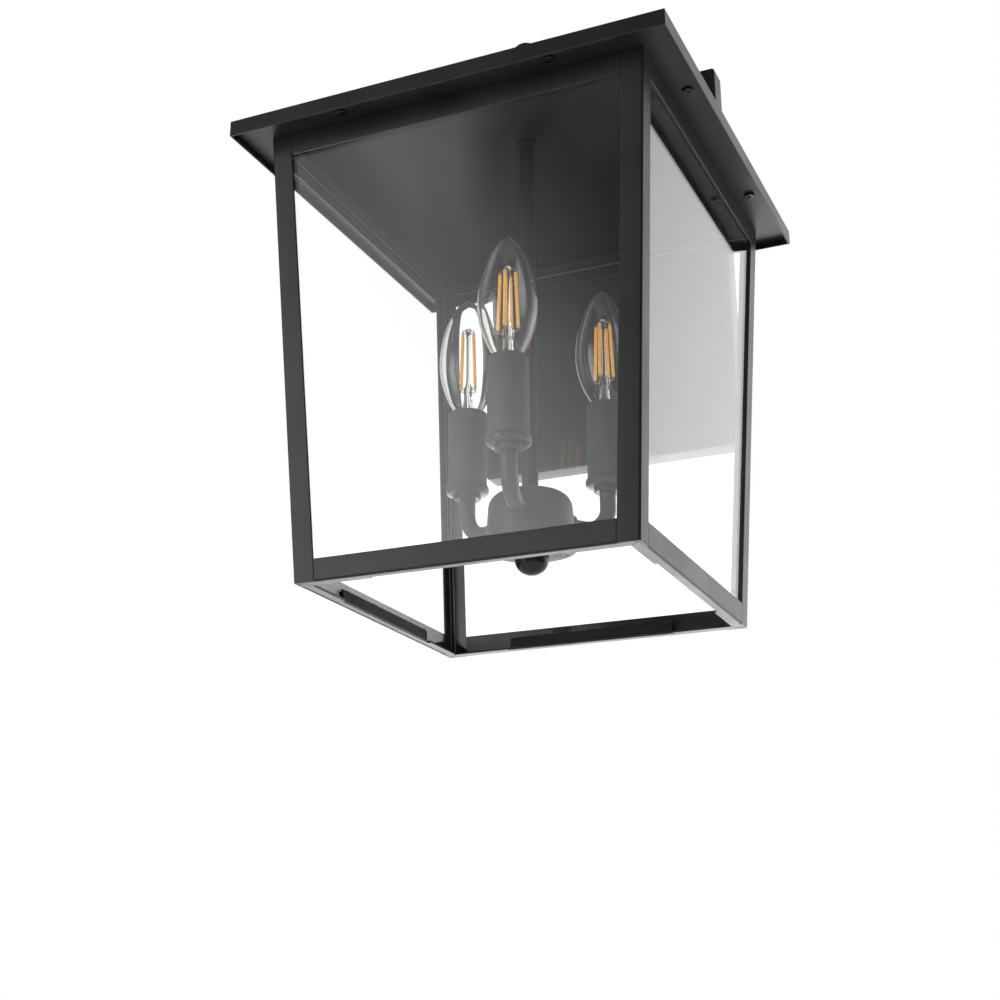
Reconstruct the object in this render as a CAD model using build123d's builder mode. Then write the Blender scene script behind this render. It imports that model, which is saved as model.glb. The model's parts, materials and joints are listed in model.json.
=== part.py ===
from build123d import *
import os
from math import cos, radians, sin, sqrt, tan

# Outdoor wall sconce: a square four-sided glass lantern that hangs from a bracket arm.
# Origin: centre of the mounting bar on the wall plane. +Y goes into the wall, +Z is up.
# Heights called "height" below are measured from the underside of the glass cage.

# Gap between the plate and the lantern's eave
eave_gap = 1.8

# Wall plate, a shallow pan
plate_width = 172.4
plate_height = 280.0
plate_depth = 16.6
plate_bottom = 128.3
plate_sheet = 1.5
plate_round = 2.0
wire_hole = 6.0

# Mounting bar and what fastens the plate to it
box_hole_spacing = 88.9
bar_length = 114.0
bar_width = 20.0
bar_sheet = 1.6
bar_slot_length = 14.0
bar_slot_width = 4.8
bar_wire_hole = 8.0
stud_spacing = 56.0
stud_radius = 2.0
stud_reach = 7.0
nut_radius = 5.2
nut_length = 10.0
nut_dome = 3.5
ground_offset = 15.0
ground_shank = 1.6
ground_head = 3.4
ground_head_height = 2.2

# Bracket arm and its hub
arm_size = 16.0
arm_sheet = 1.5
arm_flange = 30.0
arm_flange_thickness = 3.0
hub_radius = 12.0
hub_height = 28.0
hub_cavity_radius = 9.5
hub_cavity_height = 20.0

# Stem, its finial and the pieces threaded on it
stem_radius = 4.7
stem_bore = 3.2
stem_bottom = 27.0
stem_above_hub = 7.0
stem_slot_width = 4.4
finial_ball = 9.75
finial_foot_radius = 9.0
finial_foot_height = 3.0
finial_neck = 5.5
spacer_height = 21.2
spacer_radius = 8.0
spacer_foot_radius = 11.0
spacer_foot_height = 4.0
stem_ring_radius = 6.5
stem_ring_height = 2.6

# Roof
eave_overhang = 17.5
lip_drop = 3.5
lip_height = 9.5
roof_rise = 25.8
roof_sheet = 1.2
crown_half = 13.0
soffit_sheet = 1.2
soffit_edge = 0.2
soffit_screw_along = 63.0
soffit_screw_from_lip = 7.5
soffit_screw_head = 3.1
soffit_screw_head_height = 1.4
soffit_screw_shank = 1.6
soffit_screw_length = 4.0
tab_length = 14.0
tab_thickness = 1.5

# Glass cage
cage_half = 95.5
cage_flare = 17.2
cage_height = 263.0
cage_sheet = 1.4
post_leg = 12.3
post_round = 1.2
rail_height = 12.2
rail_leg = 7.4
rail_bend = 1.5
top_rail_height = 12.9
pane_thickness = 3.0
pane_top_gap = 3.9
pane_corner_gap = 0.4
strip_length = 104.0
strip_height = 6.2
strip_thickness = 1.3
strip_notch = 0.8

# Candle cluster
canister_radius = 25.5
canister_bottom = 32.5
canister_height = 32.6
canister_draft = 4.0
canister_round = 9.0
canister_sheet = 1.2
cover_thickness = 1.5
front_azimuth = -80.5
right_azimuth = 49.5
left_azimuth = 159.5
candle_radius = 50.4
candle_arm_height = 49.3
candle_arm_radius = 4.7
candle_arm_wall = 1.0
candle_arm_bend = 15.0
candle_arm_past_nut = 0.8
arm_collar_radius = 7.0
arm_collar_height = 1.8
arm_nut_radius = 7.5
arm_nut_height = 2.5
cup_ring_radius = 7.9
cup_ring_height = 3.0
cup_radius = 12.7
cup_top = 82.0
cup_height = 5.5
cup_round = 1.6
sleeve_radius = 11.4
sleeve_wall = 1.0
sleeve_height = 46.0

# Candelabra sockets and bulbs
socket_radius = 9.4
socket_height = 43.7
socket_floor = 21.7
bulb_cap_radius = 5.85
bulb_cap_length = 20.0
bulb_contact_radius = 2.4
bulb_radius = 17.5
bulb_neck_radius = 6.2
bulb_length = 77.6
bulb_wall = 0.7
filament_count = 4
filament_ring_radius = 6.7
filament_radius = 0.9
filament_bottom = 19.9
filament_length = 34.4
filament_wire = 0.45
glass_mount_radius = 2.8
glass_mount_foot = 1.5

# Leads inside the tubes
lead_radius = 1.5
lead_bend = 9.0
lead_pigtail = 26.0
lead_splice_radius = 9.0

# Clearances
thread_clearance = 0.05
fit_clearance = 0.2
socket_clearance = 0.4
socket_contact_gap = 0.3

# Places worked out from the sizes above
cage_top_half = cage_half + cage_flare
pane_top = cage_height - pane_top_gap
eave_half = cage_top_half + eave_overhang
soffit_opening = cage_top_half - rail_leg + soffit_edge
lip_bottom = cage_height - lip_drop
lip_top = lip_bottom + lip_height
roof_top = lip_top + roof_rise
mount_height = roof_top + spacer_height + hub_height / 2
axis_y = -(plate_depth + eave_gap + eave_half)
cage_z = -mount_height
roof_inside = roof_top - roof_sheet
eave_inside = eave_half - roof_sheet
canister_floor = canister_bottom + cover_thickness
canister_top = canister_bottom + canister_height
cup_bottom = cup_top - cup_height
canister_slope = tan(radians(canister_draft))
collar_foot = candle_arm_height - arm_collar_radius
arm_seat = canister_radius - canister_slope * (collar_foot - canister_floor)
nut_crown = candle_arm_height + arm_nut_radius
canister_inside = canister_radius - canister_slope * (nut_crown - canister_floor) - canister_sheet
nut_seat = sqrt(canister_inside**2 - arm_nut_radius**2) - thread_clearance
arm_start = nut_seat - arm_nut_height - candle_arm_past_nut
sleeve_top = cup_top + sleeve_height
socket_top = cup_top + socket_height
bulb_base = socket_top
bulb_contact_bottom = cup_top + socket_floor + socket_contact_gap
stem_hole = stem_radius + thread_clearance
wall_view = Plane(origin=(0, 0, 0), x_dir=(1, 0, 0), z_dir=(0, -1, 0))
sides = {"front": 0, "right": 90, "back": 180, "left": 270}
corners = {"front_left": 0, "front_right": 90, "back_right": 180, "back_left": 270}
candles = {"front": front_azimuth, "right": right_azimuth, "left": left_azimuth}

os.makedirs("parts", exist_ok=True)


# Half the outside width of the leaning cage at a height
def cage_edge(height):
    return cage_half + cage_flare * height / cage_height


# Horizontal plane about the lantern's axis, turned so that its -Y side is the named side
def level(height, turn=0):
    across = (cos(radians(turn)), sin(radians(turn)), 0)
    return Plane(origin=(0, axis_y, cage_z + height), x_dir=across, z_dir=(0, 0, 1))


# Upright plane across one side: X runs inwards, Y runs up
def side_section(turn):
    across = (cos(radians(turn)), sin(radians(turn)), 0)
    inwards = (-sin(radians(turn)), cos(radians(turn)), 0)
    return Plane(origin=(0, axis_y, cage_z), x_dir=inwards, z_dir=across)


# Upright plane seen from outside one side: X runs along the side, Y runs up
def side_view(turn):
    across = (cos(radians(turn)), sin(radians(turn)), 0)
    outwards = (sin(radians(turn)), -cos(radians(turn)), 0)
    return Plane(origin=(0, axis_y, cage_z), x_dir=across, z_dir=outwards)


# Upright plane through the lantern's axis or a candle's axis: X runs away from the lantern's axis
def radial(azimuth, distance=0.0):
    away = Vector(cos(radians(azimuth)), sin(radians(azimuth)), 0)
    sideways = (away.Y, -away.X, 0)
    return Plane(
        origin=away * distance + Vector(0, axis_y, cage_z), x_dir=away, z_dir=sideways
    )


# Horizontal plane about a candle's axis
def candle_level(azimuth, height):
    away = Vector(cos(radians(azimuth)), sin(radians(azimuth)), 0)
    origin = away * candle_radius + Vector(0, axis_y, cage_z + height)
    return Plane(origin=origin, x_dir=away, z_dir=(0, 0, 1))


# Write one finished piece
def save(piece, name):
    piece.label = name
    export_step(piece, f"parts/{name}.step")


# Solid of revolution about the upright axis of a radial plane, from (radius, height) points
def turned(frame, outline):
    with BuildPart() as piece:
        with BuildSketch(frame):
            with BuildLine():
                Polyline(*outline, close=True)
            make_face()
        revolve(axis=Axis(frame.origin, (0, 0, 1)))
    return piece.part


# Plain ring about an upright axis
def ring(frame, inner, outer, bottom, top):
    return turned(frame, [(inner, bottom), (outer, bottom), (outer, top), (inner, top)])


# Wall plate: a pan that is open to the wall
def make_wall_plate():
    centre_z = cage_z + plate_bottom + plate_height / 2
    with BuildPart() as plate:
        with BuildSketch(wall_view):
            with Locations((0, centre_z)):
                Rectangle(plate_width, plate_height)
        extrude(amount=plate_depth)
        rims = plate.edges().filter_by(Axis.Y) + plate.faces().sort_by(Axis.Y)[0].edges()
        fillet(rims, plate_round)
        with BuildSketch(wall_view):
            with Locations((0, centre_z)):
                Rectangle(plate_width - 2 * plate_sheet, plate_height - 2 * plate_sheet)
        extrude(amount=plate_depth - plate_sheet, mode=Mode.SUBTRACT)
        with BuildSketch(wall_view):
            Circle(wire_hole)
            with GridLocations(stud_spacing, 0, 2, 1):
                Circle(stud_radius + fit_clearance)
        extrude(amount=plate_depth, mode=Mode.SUBTRACT)
    save(plate.part, "wall_plate")


# Mounting bar: its two slots take the screws of a junction box
def make_mounting_bar():
    with BuildPart() as bar:
        with BuildSketch(wall_view):
            RectangleRounded(bar_length, bar_width, bar_width / 5)
            Circle(bar_wire_hole, mode=Mode.SUBTRACT)
            with GridLocations(box_hole_spacing, 0, 2, 1):
                SlotOverall(bar_slot_length, bar_slot_width, mode=Mode.SUBTRACT)
            with GridLocations(stud_spacing, 0, 2, 1):
                Circle(stud_radius + thread_clearance, mode=Mode.SUBTRACT)
            with Locations((ground_offset, 0)):
                Circle(ground_shank + thread_clearance, mode=Mode.SUBTRACT)
        extrude(amount=bar_sheet)
    save(bar.part, "mounting_bar")


# Two threaded studs stand out of the bar and carry the plate
def make_plate_studs():
    with BuildPart() as studs:
        with BuildSketch(wall_view):
            with GridLocations(stud_spacing, 0, 2, 1):
                Circle(stud_radius)
        extrude(amount=plate_depth + stud_reach)
    save(studs.part, "plate_studs")


# Domed nuts on the studs hold the plate to the wall
def make_cap_nuts():
    with BuildPart() as nuts:
        with BuildSketch(wall_view.offset(plate_depth)):
            with GridLocations(stud_spacing, 0, 2, 1):
                Circle(nut_radius)
        extrude(amount=nut_length)
        ends = nuts.faces().filter_by(Axis.Y).group_by(Axis.Y)[0]
        fillet(ends.edges(), nut_dome)
        with BuildSketch(wall_view.offset(plate_depth)):
            with GridLocations(stud_spacing, 0, 2, 1):
                Circle(stud_radius + thread_clearance)
        extrude(amount=stud_reach + fit_clearance, mode=Mode.SUBTRACT)
    save(nuts.part, "cap_nuts")


# Ground screw in the bar
def make_ground_screw():
    with BuildPart() as screw:
        with BuildSketch(wall_view):
            with Locations((ground_offset, 0)):
                Circle(ground_shank)
        extrude(amount=bar_sheet)
        with BuildSketch(wall_view.offset(bar_sheet)):
            with Locations((ground_offset, 0)):
                Circle(ground_head)
        extrude(amount=ground_head_height)
    save(screw.part, "ground_screw")


# Bracket arm: flange on the plate, square tube and the hub that the stem passes through
def make_bracket_arm():
    with BuildPart() as bracket:
        with BuildSketch(wall_view.offset(plate_depth)):
            Rectangle(arm_flange, arm_flange)
        extrude(amount=arm_flange_thickness)
        with BuildSketch(wall_view.offset(plate_depth)):
            Rectangle(arm_size, arm_size)
        extrude(amount=-axis_y - plate_depth)
        with BuildSketch(level(mount_height - hub_height / 2)):
            Circle(hub_radius)
        extrude(amount=hub_height)
        with BuildSketch(wall_view.offset(plate_depth)):
            Rectangle(arm_size - 2 * arm_sheet, arm_size - 2 * arm_sheet)
        extrude(amount=-axis_y - plate_depth, mode=Mode.SUBTRACT)
        with BuildSketch(level(mount_height - hub_cavity_height / 2)):
            Circle(hub_cavity_radius)
        extrude(amount=hub_cavity_height, mode=Mode.SUBTRACT)
        with BuildSketch(level(mount_height - hub_height / 2)):
            Circle(stem_hole)
        extrude(amount=hub_height, mode=Mode.SUBTRACT)
    save(bracket.part, "bracket_arm")


# Stem: one threaded tube from the finial under the canister to the finial over the hub
def make_stem():
    stem_top = mount_height + hub_height / 2 + stem_above_hub
    slot_bottom = mount_height - lead_bend - 2 * lead_radius
    slot_top = mount_height + 2 * lead_radius
    window_bottom = canister_floor + arm_nut_radius
    window_top = canister_top - 2 * stem_radius
    with BuildPart() as stem:
        with BuildSketch(level(stem_bottom)):
            Circle(stem_radius)
            Circle(stem_bore, mode=Mode.SUBTRACT)
        extrude(amount=stem_top - stem_bottom)
        for bottom, top in ((slot_bottom, slot_top), (window_bottom, window_top)):
            with BuildSketch(level(bottom)):
                with Locations((0, stem_radius)):
                    Rectangle(stem_slot_width, 2 * stem_radius)
            extrude(amount=top - bottom, mode=Mode.SUBTRACT)
    save(stem.part, "stem")


# Finial over the hub: foot, neck and ball, with a blind hole for the stem
def make_top_finial():
    foot = mount_height + hub_height / 2
    ball_centre = foot + finial_foot_height + finial_ball
    with BuildPart() as finial:
        with BuildSketch(level(foot)):
            Circle(finial_foot_radius)
        extrude(amount=finial_foot_height)
        with BuildSketch(level(foot)):
            Circle(finial_neck)
        extrude(amount=finial_foot_height + finial_ball)
        with Locations((0, axis_y, cage_z + ball_centre)):
            Sphere(finial_ball)
        with BuildSketch(level(foot)):
            Circle(stem_hole)
        extrude(amount=stem_above_hub + fit_clearance, mode=Mode.SUBTRACT)
    save(finial.part, "top_finial")


# Spacer between the roof's crown and the hub
def make_roof_spacer():
    bottom = roof_top
    top = mount_height - hub_height / 2
    outline = [
        (stem_hole, bottom),
        (spacer_foot_radius, bottom),
        (spacer_foot_radius, bottom + spacer_foot_height / 2),
        (spacer_radius, bottom + spacer_foot_height),
        (spacer_radius, top),
        (stem_hole, top),
    ]
    save(turned(radial(0), outline), "roof_spacer")


# Lock ring under the roof's crown
def make_stem_ring():
    bottom = roof_inside - stem_ring_height
    save(ring(radial(0), stem_hole, stem_ring_radius, bottom, roof_inside), "stem_ring")


# Where the eight soffit screws sit on one side: along the side, then across it
def soffit_screw_spots():
    across = -(eave_inside - soffit_screw_from_lip)
    return [(-soffit_screw_along, across), (soffit_screw_along, across)]


# Roof: a low pyramid of sheet with a turned-down lip and a tab for each soffit screw
def make_roof_shell():
    with BuildPart() as roof:
        with BuildSketch(level(lip_bottom)):
            Rectangle(2 * eave_half, 2 * eave_half)
        extrude(amount=lip_height)
        with BuildSketch(level(lip_top)):
            Rectangle(2 * eave_half, 2 * eave_half)
        with BuildSketch(level(roof_top)):
            Rectangle(2 * crown_half, 2 * crown_half)
        loft()
        with BuildSketch(level(lip_bottom)):
            Rectangle(2 * eave_inside, 2 * eave_inside)
        extrude(amount=lip_height - roof_sheet, mode=Mode.SUBTRACT)
        with BuildSketch(level(lip_top - roof_sheet)):
            Rectangle(2 * eave_inside, 2 * eave_inside)
        with BuildSketch(level(roof_inside)):
            Rectangle(2 * crown_half, 2 * crown_half)
        loft(mode=Mode.SUBTRACT)
        for turn in sides.values():
            spots = soffit_screw_spots()
            tab_width = 2 * soffit_screw_from_lip
            with BuildSketch(level(cage_height + soffit_sheet, turn)):
                with Locations(*spots):
                    Rectangle(tab_length, tab_width)
                    Circle(soffit_screw_shank + thread_clearance, mode=Mode.SUBTRACT)
            extrude(amount=tab_thickness)
        with BuildSketch(level(roof_inside)):
            Circle(stem_hole)
        extrude(amount=roof_sheet, mode=Mode.SUBTRACT)
    save(roof.part, "roof_shell")


# Soffit frame: the flat ring between the cage and the roof's lip
def make_soffit_frame():
    with BuildPart() as soffit:
        with BuildSketch(level(cage_height)):
            outside = eave_inside - thread_clearance
            Rectangle(2 * outside, 2 * outside)
            Rectangle(2 * soffit_opening, 2 * soffit_opening, mode=Mode.SUBTRACT)
        extrude(amount=soffit_sheet)
        for turn in sides.values():
            with BuildSketch(level(cage_height, turn)):
                with Locations(*soffit_screw_spots()):
                    Circle(soffit_screw_shank + fit_clearance)
            extrude(amount=soffit_sheet, mode=Mode.SUBTRACT)
    save(soffit.part, "soffit_frame")


# Soffit screws, two on each side
def make_soffit_screws():
    with BuildPart() as screws:
        for turn in sides.values():
            with BuildSketch(level(cage_height, turn)):
                with Locations(*soffit_screw_spots()):
                    Circle(soffit_screw_head)
            extrude(amount=-soffit_screw_head_height)
        heads = screws.faces().filter_by(Axis.Z).group_by(Axis.Z)[0]
        fillet(heads.edges(), soffit_screw_head_height / 2)
        for turn in sides.values():
            with BuildSketch(level(cage_height, turn)):
                with Locations(*soffit_screw_spots()):
                    Circle(soffit_screw_shank)
            extrude(amount=soffit_screw_length)
    save(screws.part, "soffit_screws")


# Corner post: a bent angle that leans out with the cage
def make_corner_post(name, turn):
    with BuildPart() as post:
        for height in (0, cage_height):
            corner = -cage_edge(height)
            tip = corner + post_leg
            inside = corner + cage_sheet
            with BuildSketch(level(height, turn)) as profile:
                with BuildLine():
                    Polyline(
                        (corner, corner), (tip, corner), (tip, inside),
                        (inside, inside), (inside, tip), (corner, tip), close=True
                    )
                make_face()
                outer = profile.vertices().sort_by_distance((corner, corner, 0))[0]
                fillet(outer, post_round)
        loft(ruled=True)
    save(post.part, f"{name}_post")


# Face across one side between two heights; its ends follow the lean of the cage
def side_trapezoid(turn, inset, low, high):
    with BuildSketch(side_view(turn)) as trapezoid:
        with BuildLine():
            Polyline(
                (-cage_edge(low) + inset, low), (cage_edge(low) - inset, low),
                (cage_edge(high) - inset, high), (-cage_edge(high) + inset, high), close=True
            )
        make_face()
    return trapezoid.sketch


# Bottom rail: an angle between two posts; its lower leg turns inwards and is mitred at the corners
def make_bottom_rail(name, turn):
    corner = cage_half - cage_sheet
    foot = cage_half - rail_leg
    with BuildPart() as rail:
        with BuildSketch(side_section(turn)) as profile:
            with BuildLine():
                Polyline(
                    (-cage_edge(0), 0),
                    (-cage_edge(0) + rail_leg, 0),
                    (-cage_edge(0) + rail_leg, cage_sheet),
                    (-cage_edge(cage_sheet) + cage_sheet, cage_sheet),
                    (-cage_edge(rail_height) + cage_sheet, rail_height),
                    (-cage_edge(rail_height), rail_height),
                    close=True,
                )
            make_face()
            bend = profile.vertices().sort_by_distance((-cage_half, 0, 0))[0]
            fillet(bend, rail_bend)
        extrude(amount=cage_half, both=True)
        ends = side_trapezoid(turn, post_leg, 0, rail_height)
        extrude(ends, amount=2 * eave_half, mode=Mode.INTERSECT)
        with BuildSketch(level(0, turn)):
            with BuildLine():
                Polyline((-corner, -corner), (corner, -corner), (foot, -foot), (-foot, -foot), close=True)
            make_face()
            with Locations((0, -cage_half)):
                Rectangle(2 * (cage_half - post_leg), 2 * rail_leg, mode=Mode.SUBTRACT)
        extrude(amount=cage_sheet)
        notch = strip_length + 2 * strip_notch
        inside = cage_half - cage_sheet - pane_thickness - strip_thickness
        with BuildSketch(level(0, turn)):
            with Locations((0, -inside + rail_leg / 2)):
                Rectangle(notch, rail_leg)
        extrude(amount=cage_sheet, mode=Mode.SUBTRACT)
    save(rail.part, f"{name}_bottom_rail")


# Top rail: an angle between two posts, its upper leg turned inwards under the soffit
def make_top_rail(name, turn):
    low = cage_height - top_rail_height
    shelf = cage_height - cage_sheet
    with BuildPart() as rail:
        with BuildSketch(side_section(turn)):
            with BuildLine():
                Polyline(
                    (-cage_edge(low), low),
                    (-cage_edge(low) + cage_sheet, low),
                    (-cage_edge(shelf) + cage_sheet, shelf),
                    (-cage_edge(shelf) + rail_leg, shelf),
                    (-cage_edge(cage_height) + rail_leg, cage_height),
                    (-cage_edge(cage_height), cage_height),
                    close=True,
                )
            make_face()
        extrude(amount=cage_edge(cage_height), both=True)
        ends = side_trapezoid(turn, post_leg, low, cage_height)
        extrude(ends, amount=2 * eave_half, mode=Mode.INTERSECT)
    save(rail.part, f"{name}_top_rail")


# Glass pane: it stands on the bottom rail's leg, inside the posts and rails
def make_glass_pane(name, turn):
    low = cage_sheet
    inset = cage_sheet + pane_thickness + pane_corner_gap
    with BuildPart() as pane:
        with BuildSketch(side_section(turn)):
            with BuildLine():
                Polyline(
                    (-cage_edge(low) + cage_sheet, low),
                    (-cage_edge(low) + cage_sheet + pane_thickness, low),
                    (-cage_edge(pane_top) + cage_sheet + pane_thickness, pane_top),
                    (-cage_edge(pane_top) + cage_sheet, pane_top),
                    close=True,
                )
            make_face()
        extrude(amount=cage_edge(pane_top), both=True)
        ends = side_trapezoid(turn, inset, low, pane_top)
        extrude(ends, amount=2 * eave_half, mode=Mode.INTERSECT)
    save(pane.part, f"{name}_glass_pane")


# Strips that hold the foot of each pane against its rail
def make_glass_strips():
    low = cage_sheet
    high = low + strip_height
    outside = cage_sheet + pane_thickness
    inside = outside + strip_thickness
    with BuildPart() as strips:
        for turn in sides.values():
            with BuildSketch(side_section(turn)):
                with BuildLine():
                    Polyline(
                        (-cage_edge(low) + outside, low), (-cage_edge(low) + inside, low),
                        (-cage_edge(high) + inside, high), (-cage_edge(high) + outside, high),
                        close=True,
                    )
                make_face()
            extrude(amount=strip_length / 2, both=True)
    save(strips.part, "glass_strips")


# Canister: the spun can in the middle of the cluster, open at the bottom
def make_canister():
    with BuildPart() as canister:
        with BuildSketch(level(canister_floor)):
            Circle(canister_radius)
        extrude(amount=canister_top - canister_floor, taper=canister_draft)
        fillet(canister.edges().sort_by(Axis.Z)[-1], canister_round)
        offset(amount=-canister_sheet, openings=canister.faces().sort_by(Axis.Z)[0])
        with BuildSketch(level(canister_top - canister_sheet)):
            Circle(stem_hole)
        extrude(amount=canister_sheet, mode=Mode.SUBTRACT)
        for azimuth in candles.values():
            away = radial(azimuth).x_dir
            start = radial(azimuth).origin + Vector(0, 0, candle_arm_height)
            with BuildSketch(Plane(origin=start, z_dir=away)):
                Circle(candle_arm_radius + thread_clearance)
            extrude(amount=canister_radius, mode=Mode.SUBTRACT)
    save(canister.part, "canister")


# Cover plate that closes the canister and the ball finial that holds it
def make_canister_cover():
    cover = ring(radial(0), stem_radius + fit_clearance, canister_radius,
                 canister_bottom, canister_floor)
    save(cover, "canister_cover")
    ball_centre = canister_bottom - finial_ball * 0.47
    with BuildPart() as finial:
        with Locations((0, axis_y, cage_z + ball_centre)):
            Sphere(finial_ball)
        with BuildSketch(level(canister_bottom)):
            Rectangle(3 * finial_ball, 3 * finial_ball)
        extrude(amount=finial_ball, mode=Mode.SUBTRACT)
        with BuildSketch(level(canister_bottom)):
            Circle(stem_hole)
        extrude(amount=-(canister_bottom - stem_bottom + fit_clearance), mode=Mode.SUBTRACT)
    save(finial.part, "ball_finial")


# Candle arm: a tube that leaves the canister level and turns up to its cup
def make_candle_arm(name, azimuth):
    with BuildPart() as arm:
        with BuildLine(radial(azimuth)) as route:
            FilletPolyline(
                (arm_start, candle_arm_height), (candle_radius, candle_arm_height),
                (candle_radius, cup_bottom), radius=candle_arm_bend
            )
        with BuildSketch(Plane(origin=route.line @ 0, z_dir=route.line % 0)):
            Circle(candle_arm_radius)
        sweep(path=route.line)
        collar_start = route.line @ 0 + radial(azimuth).x_dir * (arm_seat - arm_start)
        with BuildSketch(Plane(origin=collar_start, z_dir=route.line % 0)):
            Circle(arm_collar_radius)
        extrude(amount=arm_collar_height)
        with BuildSketch(Plane(origin=route.line @ 0, z_dir=route.line % 0)):
            Circle(candle_arm_radius - candle_arm_wall)
        sweep(path=route.line, mode=Mode.SUBTRACT)
    save(arm.part, f"{name}_candle_arm")


# Nuts inside the canister clamp the three arms
def make_arm_nuts():
    with BuildPart() as nuts:
        for azimuth in candles.values():
            frame = radial(azimuth)
            reach = frame.x_dir * (nut_seat - arm_nut_height)
            start = frame.origin + reach + Vector(0, 0, candle_arm_height)
            with BuildSketch(Plane(origin=start, x_dir=(0, 0, 1), z_dir=frame.x_dir)):
                RegularPolygon(arm_nut_radius, 6)
                Circle(candle_arm_radius + thread_clearance, mode=Mode.SUBTRACT)
            extrude(amount=arm_nut_height)
    save(nuts.part, "arm_nuts")


# Cup with its ring under each candle
def make_cup(name, azimuth):
    hole = candle_arm_radius - candle_arm_wall
    with BuildPart() as cup:
        with BuildSketch(candle_level(azimuth, cup_bottom)):
            Circle(cup_radius)
        extrude(amount=cup_height)
        rims = cup.faces().filter_by(Axis.Z).edges()
        fillet(rims, cup_round)
        with BuildSketch(candle_level(azimuth, cup_bottom)):
            Circle(cup_ring_radius)
            Circle(candle_arm_radius + thread_clearance, mode=Mode.SUBTRACT)
        extrude(amount=-cup_ring_height)
        with BuildSketch(candle_level(azimuth, cup_bottom)):
            Circle(hole)
        extrude(amount=cup_height, mode=Mode.SUBTRACT)
    save(cup.part, f"{name}_cup")


# Candle sleeve standing on the cup
def make_sleeve(name, azimuth):
    frame = radial(azimuth, candle_radius)
    inner = sleeve_radius - sleeve_wall
    save(ring(frame, inner, sleeve_radius, cup_top, sleeve_top), f"{name}_candle_sleeve")


# Socket inside the sleeve: foot, body, screw shell bore and the hole for its lead
def make_socket(name, azimuth):
    foot_radius = sleeve_radius - sleeve_wall - fit_clearance
    bore = bulb_cap_radius + socket_clearance
    floor = cup_top + socket_floor
    lead_hole = lead_radius + fit_clearance
    outline = [
        (lead_hole, cup_top),
        (foot_radius, cup_top),
        (foot_radius, cup_top + socket_floor / 4),
        (socket_radius, cup_top + socket_floor / 4),
        (socket_radius, socket_top),
        (bore, socket_top),
        (bore, floor),
        (lead_hole, floor),
    ]
    save(turned(radial(azimuth, candle_radius), outline), f"{name}_socket")


# Screw cap of a bulb and the contact under it
def make_bulb_cap(name, azimuth):
    frame = radial(azimuth, candle_radius)
    bottom = bulb_base - bulb_cap_length
    neck = bulb_neck_radius - bulb_wall
    outline = [
        (0, bottom),
        (bulb_cap_radius * 0.55, bottom),
        (bulb_cap_radius, bottom + bulb_cap_radius / 2),
        (bulb_cap_radius, bulb_base),
        (0, bulb_base),
    ]
    with BuildPart() as cap:
        add(turned(frame, outline))
        with BuildSketch(candle_level(azimuth, bulb_base)):
            Circle(neck - 2 * bulb_wall)
        extrude(amount=-bulb_cap_length / 2, mode=Mode.SUBTRACT)
    save(cap.part, f"{name}_bulb_cap")
    contact = ring(frame, 0, bulb_contact_radius, bulb_contact_bottom, bottom)
    save(contact, f"{name}_bulb_contact")


# Outline of a bulb, inset by a wall: neck, widest place and a soft point at the top
def bulb_blank(azimuth, inset):
    frame = radial(azimuth, candle_radius)
    wide = bulb_radius - inset
    neck = bulb_neck_radius - inset
    tip = bulb_base + bulb_length - inset
    with BuildPart() as blank:
        with BuildSketch(frame):
            with BuildLine():
                belly = (wide, bulb_base + bulb_length * 0.43)
                low = (neck, bulb_base)
                flank = (wide * 0.79, bulb_base + bulb_length * 0.2)
                shoulder = (wide * 0.8, bulb_base + bulb_length * 0.76)
                brow = (wide * 0.42, bulb_base + bulb_length * 0.93)
                Spline(low, flank, belly, shoulder, brow, (0, tip),
                       tangents=((0.2, 1), (-1, -0.12)))
                Line((0, tip), (0, bulb_base))
                Line((0, bulb_base), low)
            make_face()
        revolve(axis=Axis(frame.origin, (0, 0, 1)))
    return blank.part


# Glass envelope of a bulb
def make_bulb_glass(name, azimuth):
    with BuildPart() as glass:
        add(bulb_blank(azimuth, 0))
        add(bulb_blank(azimuth, bulb_wall), mode=Mode.SUBTRACT)
    save(glass.part, f"{name}_bulb_glass")


# Glass mount, wires and the upright filaments of a bulb
def make_bulb_filament(name, azimuth):
    bottom = bulb_base + filament_bottom
    top = bottom + filament_length
    with BuildPart() as filament:
        with BuildSketch(candle_level(azimuth, bulb_base)):
            Circle(glass_mount_radius)
        extrude(amount=filament_bottom)
        with BuildSketch(candle_level(azimuth, bulb_base)):
            Circle(bulb_neck_radius - bulb_wall - thread_clearance)
        extrude(amount=glass_mount_foot)
        with BuildSketch(candle_level(azimuth, bottom)):
            Circle(filament_wire)
        extrude(amount=filament_length)
        with BuildSketch(candle_level(azimuth, bottom)):
            with PolarLocations(filament_ring_radius, filament_count):
                Circle(filament_radius)
        extrude(amount=filament_length)
        for height in (bottom - 2 * filament_wire, top):
            with BuildSketch(candle_level(azimuth, height)):
                with PolarLocations(filament_ring_radius / 2, filament_count):
                    Rectangle(filament_ring_radius + 2 * filament_radius, 2 * filament_wire)
            extrude(amount=2 * filament_wire)
    save(filament.part, f"{name}_bulb_filament")


# Round lead along a route of straight runs and tangent bends
def make_lead(frame, points, bend):
    with BuildPart() as lead:
        with BuildLine(frame) as route:
            FilletPolyline(*points, radius=bend)
        with BuildSketch(Plane(origin=route.line @ 0, z_dir=route.line % 0)):
            Circle(lead_radius)
        sweep(path=route.line)
    return lead.part


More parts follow.
